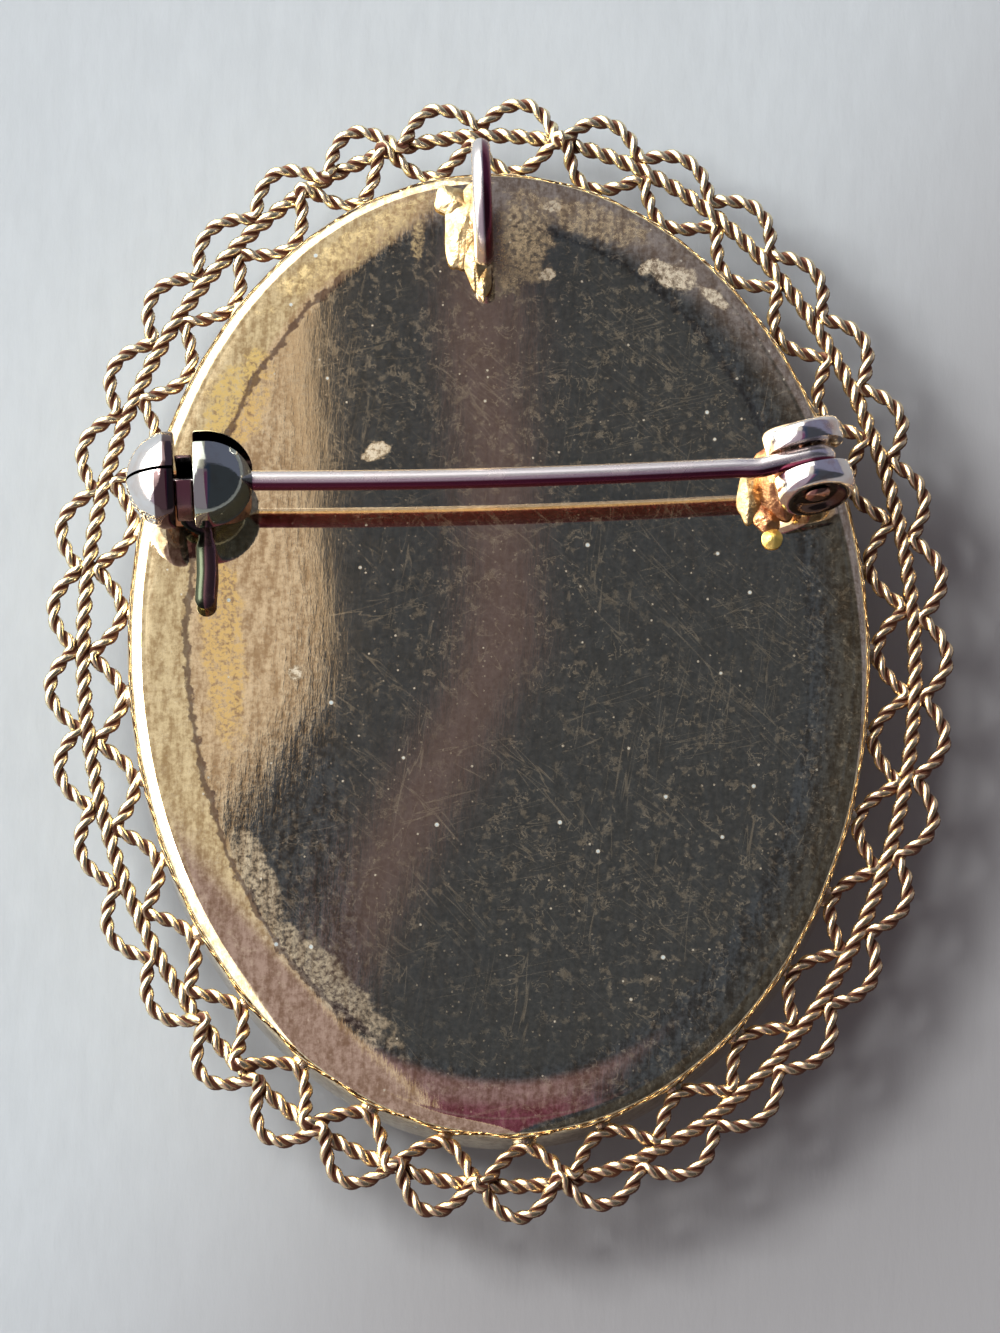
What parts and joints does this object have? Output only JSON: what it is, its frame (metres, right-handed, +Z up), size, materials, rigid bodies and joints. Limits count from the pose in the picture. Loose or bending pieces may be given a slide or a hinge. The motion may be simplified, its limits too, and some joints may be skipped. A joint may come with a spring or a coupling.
{
  "type": "cameo brooch",
  "caption": "Oval cameo brooch with a wirework border, a hinged pin, a turning safety catch and a bail, lying face down.",
  "frame": {"origin": "on the surface that the brooch lies on, under the middle of its oval", "axes": "+Z up through the back plate, +Y towards the bail, +X towards the pin's hinge"},
  "size_m": [0.0378, 0.0483, 0.0115],
  "materials": {
    "gilt_setting": "mirror-polished gilt with fine scratches and tarnish, its findings silvery",
    "gilt_wire": "bright twisted gilt wire with brown tarnish in its grooves",
    "cameo_stone": "softly polished carnelian-coloured ground with an ivory relief",
    "pin_steel": "plated steel wire, slightly dulled",
    "rivet_steel": "plated, slightly dulled",
    "catch_metal": "polished plating with a warm tarnish"
  },
  "bodies": {
    "brooch": {"setting": "gilt_setting", "filigree_border": "gilt_wire", "cameo": "cameo_stone", "hinge_rivet": "rivet_steel"},
    "pin": {"pin_stem": "pin_steel"},
    "lever": {"catch_lever": "catch_metal"}
  },
  "joints": [
    {"name": "pin_hinge", "type": "hinge", "parent": "brooch", "child": "pin", "pos_m": [0.0131, 0.00685, 0.0083], "axis": [-0.2079, 0.9781, 0], "range_deg": [0, 95]},
    {"name": "catch_turn", "type": "hinge", "parent": "brooch", "child": "lever", "pos_m": [-0.01285, 0.0068, 0.00903], "axis": [-1, 0, 0], "range_deg": [0, 100]}
  ]
}
